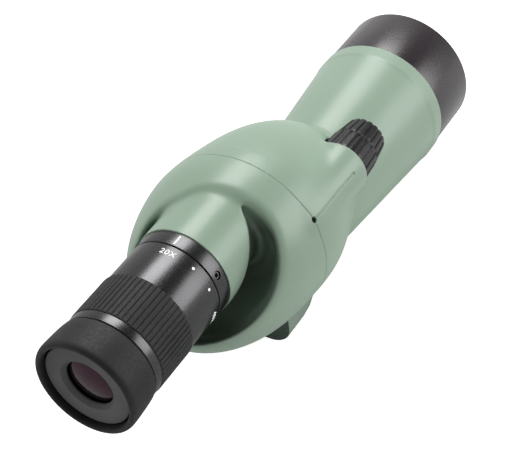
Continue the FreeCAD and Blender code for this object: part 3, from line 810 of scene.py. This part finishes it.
def ribfun(n, depth, duty, y0, y1, edge, soft=0.16, ph=0.0, rmin=0.0):
    """Raised ribs round the axis, their ends rounded off over edge mm."""
    def f(R, Y, th):
        u = ((th * n / (2 * math.pi)) + ph) % 1.0
        d = np.abs(u - 0.5) * 2.0          # 0 in the middle of a rib, 1 in the groove
        w = np.clip((d - duty) / soft, 0, 1)
        w = w * w * (3 - 2 * w)
        e = np.clip(np.minimum(Y - y0, y1 - Y) / edge, 0, 1)
        e = np.sqrt(np.clip(1 - (1 - e) ** 2, 0, 1))
        top = R > rmin
        return np.where(top, R - depth * w * np.clip(e + 0.35, 0, 1) - (1 - e) * 0.18, R)
    return f


gy = [17.45, 17.5, 17.62, 17.8, 18.05, 18.4, 19.2, 24.0, 30.8, 35.6, 36.4, 36.75, 37.0, 37.18, 37.3, 37.35]
gp_ = [(17.45, 18.66)] + [(y, 20.22) for y in gy] + [(37.35, 18.66)]
turned_piece("grip_ribbed", gp_, "rubber_grip", "zoom_ring", ("zoom_grip",), seg=60 * 14,
             rfun=ribfun(60, 0.5, 0.6, E + 17.45, E + 37.35, 0.6, soft=0.3, rmin=19.5), sharp=50)

holes = []
for a in (65.2, 185.2, 305.2):
    holes.append(tool_obj(*radial(1.7, 17.6, 21.0, E + 60.2, a, seg=40)))
col = rounded([(57.2, 17.1), (57.2, 19.7), (63.62, 19.7), (63.62, 17.1)], [0.05, 0.3, 0.16, 0.05])
turned_piece("neck_collar", col, "anodised_black", "scope", ("eyepiece_collar",), tools=holes)
for i, a in enumerate((65.2, 185.2, 305.2)):
    V, F = radial(1.3, 16.9, 19.2, E + 60.2, a, seg=40)
    me = tool_obj(V, F)
    me = carve(me, [tool_obj(*radial(0.72, 17.6, 20.0, E + 60.2, a, seg=6)), tool_obj(*radial(0.6, 18.8, 19.3, E + 60.2, a, seg=40, r2=1.0))])
    for v in me.vertices:
        v.co = v.co * MM
    so = wrap("collar_screw_%d" % (i + 1), me, M["steel_black"], "scope", ("collar_set_screws",), sharp=25)


# ---- white figures and marks, thin inlays bent on to the barrel
def bend_on(V2, F, R, th0, y0, t=0.05, depth=0.0):
    V = []
    for u, v, w in V2:
        a = math.radians(th0) + u / R
        rr = R + w
        V.append((rr * math.sin(a), y0 + v, ZE + rr * math.cos(a)))
    return V


def slab(poly_faces, pts, t):
    """pts 2D, faces as index lists: extruded from -0.03 to t."""
    n = len(pts)
    V = [(x, y, -0.04) for x, y in pts] + [(x, y, t) for x, y in pts]
    F = [tuple(reversed(f)) for f in poly_faces] + [tuple(i + n for i in f) for f in poly_faces]
    cnt = {}
    for f in poly_faces:
        for i in range(len(f)):
            e = (f[i], f[(i + 1) % len(f)])
            cnt[e] = cnt.get(e, 0) + 1
    for (a, b) in list(cnt):
        if (b, a) not in cnt:
            F.append((a, b, b + n, a + n))
    return V, F


def text_flat(txt, height):
    cu = bpy.data.curves.new("figures", "FONT")
    cu.body = txt
    cu.size = 1.0
    cu.align_x = "CENTER"
    cu.space_character = 1.08
    cu.resolution_u = 6
    cu.fill_mode = "FRONT"
    ob = bpy.data.objects.new("figures", cu)
    bpy.context.scene.collection.objects.link(ob)
    dg = bpy.context.evaluated_depsgraph_get()
    dg.update()
    m2 = bpy.data.meshes.new_from_object(ob.evaluated_get(dg))
    bm = bmesh.new()
    bm.from_mesh(m2)
    bmesh.ops.remove_doubles(bm, verts=bm.verts, dist=1e-5)
    pts = [(v.co.x, v.co.y) for v in bm.verts]
    bm.verts.ensure_lookup_table()
    fs = [[v.index for v in f.verts] for f in bm.faces]
    nz = [f.normal.z for f in bm.faces]
    bm.free()
    bpy.data.objects.remove(ob)
    y0 = min(p[1] for p in pts)
    y1 = max(p[1] for p in pts)
    k = height / (y1 - y0)
    pts = [(x * k, (y - y0) * k) for x, y in pts]
    fs = [f if z > 0 else f[::-1] for f, z in zip(fs, nz)]
    return pts, fs


def put_mark(name, pts, fs, th0, y0, R, body, t=0.045):
    V2, F = slab(fs, pts, t)
    V = bend_on(V2, F, R, th0, y0)
    me = tool_obj(V, F, name)
    for v in me.vertices:
        v.co = v.co * MM
    return wrap(name, me, M["mark_white_glow"], body, (), sharp=20)


RBR = 19.65
for nm, txt, th in (("figures_20x", "20X", 7.3), ("figures_40x", "40X", 109.5)):
    pts, fs = text_flat(txt, 2.45)
    w = max(p[0] for p in pts) - min(p[0] for p in pts)
    kx = 6.5 / w
    pts = [(x * kx, y) for x, y in pts]
    put_mark(nm, pts, fs, th, E + 52.1, RBR, "zoom_ring")
dot = [(0.58 * math.cos(a), 0.58 * math.sin(a)) for a in np.linspace(0, 2 * math.pi, 20, endpoint=False)]
for i, (th, y) in enumerate(((39.7, 53.6), (68.7, 53.4))):
    put_mark("zoom_dot_%d" % (i + 1), dot, [list(range(20))], th, E + y, RBR, "zoom_ring")
put_mark("index_line", [(-0.29, 0), (0.29, 0), (0.29, 4.7), (-0.29, 4.7)], [[0, 1, 2, 3]], 6.0, E + 58.0, 19.7, "scope")

# ==== focus knob, two sections
K0, K1, K2, K3 = E + 145.9, E + 156.75, E + 157.05, E + 168.0


def knob(name, y0, y1, r0, r1, bore, ph, body, node, front_round, tools=()):
    ys = [0.0, 0.12, 0.3, 0.55, 0.9, 1.5] + [1.5 + (y1 - y0 - 3.0) * k / 8 for k in range(1, 9)]
    L = y1 - y0
    if front_round:
        ys += [L - 1.1, L - 0.75, L - 0.45, L - 0.22, L - 0.07, L]
    else:
        ys += [L - 0.9, L - 0.55, L - 0.3, L - 0.12, L]
    ys = sorted(set(round(v, 4) for v in ys))
    prof = [(y0, bore)]
    for v in ys:
        r = r0 + (r1 - r0) * v / L
        if front_round:
            t = max(0.0, (v - (L - 1.3)) / 1.3)
            r -= 1.3 * (1 - math.sqrt(max(0.0, 1 - t * t)))
        prof.append((y0 + v, r))
    if front_round:
        prof += [(y1, 4.4), (y1 - 1.7, 4.4), (y1 - 1.7, bore)]
    else:
        prof += [(y1, bore)]
    rf = ribfun(18, 0.72, 0.56, y0 + 0.35, y1 - (0.25 if front_round else 0.4), 0.55, soft=0.2, ph=ph, rmin=6.6)
    V, F = lathe(prof, XK, ZK, 18 * 20, rfun=rf)
    me = tool_obj(V, F, name)
    for v in me.vertices:
        v.co = v.co * MM
    return wrap(name, me, M["knob_black"], body, (node,), sharp=42)


knob("focus_coarse", K0, K1, 11.2, 10.5, 2.56, 0.0, "focus_drive", "coarse_knob", False)
knob("focus_fine", K2, K3, 10.35, 8.7, 2.6, 0.5, "fine_drive", "fine_knob", True)

# ==== hood
H0, H1 = 224.35, 252.6
hp = [(H0, 28.58), (H0, RO := 30.5), (H1, 30.5), (H1, 29.05)]
prof = rounded(hp, [0.05, 0.22, 0.5, 0.12])
inner = [(H1 - 0.6, 29.0)]
y = H1 - 0.75
while y > H1 - 4.9:
    inner += [(y, 29.25), (y - 0.375, 29.0)]
    y -= 0.75
inner += [(H1 - 5.0, 29.0), (H1 - 5.1, 28.58)]
turned_piece("hood_shell", prof + inner, "hood_black", "scope", ("objective_hood",), seg=288, cx=0.0, cz=ZT, sharp=32)

# ==== floor, light, camera
bm = bmesh.new()
bmesh.ops.create_grid(bm, x_segments=4, y_segments=4, size=6.0)
fm = bpy.data.meshes.new("floor")
bm.to_mesh(fm)
bm.free()
floor = bpy.data.objects.new("floor", fm)
floor.location = (0, 0, -0.0002)
bpy.context.scene.collection.objects.link(floor)
fmat, nt, bs = nodes_of("floor_paper")
v = coords(nt)
nn = noise(nt, v, 3.0, 2.0)
nt.links.new(mixc(nt, nn, (0.66, 0.66, 0.66, 1), (0.69, 0.69, 0.69, 1)), bs.inputs["Base Color"])
bs.inputs["Roughness"].default_value = 0.9
bs.inputs["Specular IOR Level"].default_value = 0.1
bs.inputs["Emission Color"].default_value = (1, 1, 1, 1)
lp_ = nt.nodes.new("ShaderNodeLightPath")
nt.links.new(remap(nt, lp_.outputs["Is Camera Ray"], 0.0, 1.0, 0.12, 0.9), bs.inputs["Emission Strength"])
fm.materials.append(fmat)


def area(name, direction, dist, sx, sy, power, long_axis=(0, 1, 0), col=(1, 1, 1)):
    d = Vector(direction).normalized()
    L = bpy.data.lights.new(name, "AREA")
    L.shape = "RECTANGLE"
    L.size = sx
    L.size_y = sy
    L.energy = power
    L.color = col
    o = bpy.data.objects.new(name, L)
    z = d
    yv = (Vector(long_axis) - z * Vector(long_axis).dot(z)).normalized()
    xv = yv.cross(z)
    o.matrix_world = Matrix.Translation(d * dist + Vector((0, 0, 0.05))) @ Matrix((xv, yv, z)).transposed().to_4x4()
    bpy.context.scene.collection.objects.link(o)
    return o


area("softbox_a", (-0.19, 0.51, 0.84), 1.3, 0.62, 0.62, 9.9)
area("softbox_b", (0.79, 0.51, 0.34), 1.3, 0.75, 0.62, 6.2)

w = bpy.data.worlds.new("studio")
bpy.context.scene.world = w
w.use_nodes = True
wt = w.node_tree
bg = wt.nodes["Background"]
tc = wt.nodes.new("ShaderNodeTexCoord")
dt = wt.nodes.new("ShaderNodeVectorMath")
dt.operation = "DOT_PRODUCT"
dt.inputs[1].default_value = (0.5, 0.0, 0.866)
wt.links.new(tc.outputs["Generated"], dt.inputs[0])
mr = wt.nodes.new("ShaderNodeMapRange")
mr.inputs["From Min"].default_value = -0.05
mr.inputs["From Max"].default_value = 0.75
mr.inputs["To Min"].default_value = 0.75
mr.inputs["To Max"].default_value = 0.12
wt.links.new(dt.outputs["Value"], mr.inputs["Value"])
wt.links.new(mr.outputs["Result"], bg.inputs["Strength"])
bg.inputs["Color"].default_value = (1, 1, 1, 1)

cam = bpy.data.cameras.new("camera")
cam.lens = 105.0
cam.sensor_width = 36.0
cam.sensor_fit = "HORIZONTAL"
cam.clip_start = 0.01
cam.clip_end = 50
co = bpy.data.objects.new("camera", cam)
R = [[0.861989043924017, 0.4981805883652354, -0.09376027693552916], [0.262758623550167, -0.597263261796964, -0.7577826217706982],
     [-0.43351216119617786, 0.6285639963310969, -0.6457356336855664]]
xa, ya, za = Vector(R[0]), -Vector(R[1]), -Vector(R[2])
co.matrix_world = Matrix.Translation(Vector((0.26038, -0.38048, 0.43349))) @ Matrix((xa, ya, za)).transposed().to_4x4()
bpy.context.scene.collection.objects.link(co)
bpy.context.scene.camera = co
bpy.context.scene.view_settings.view_transform = "Standard"
bpy.context.scene.view_settings.look = "None"
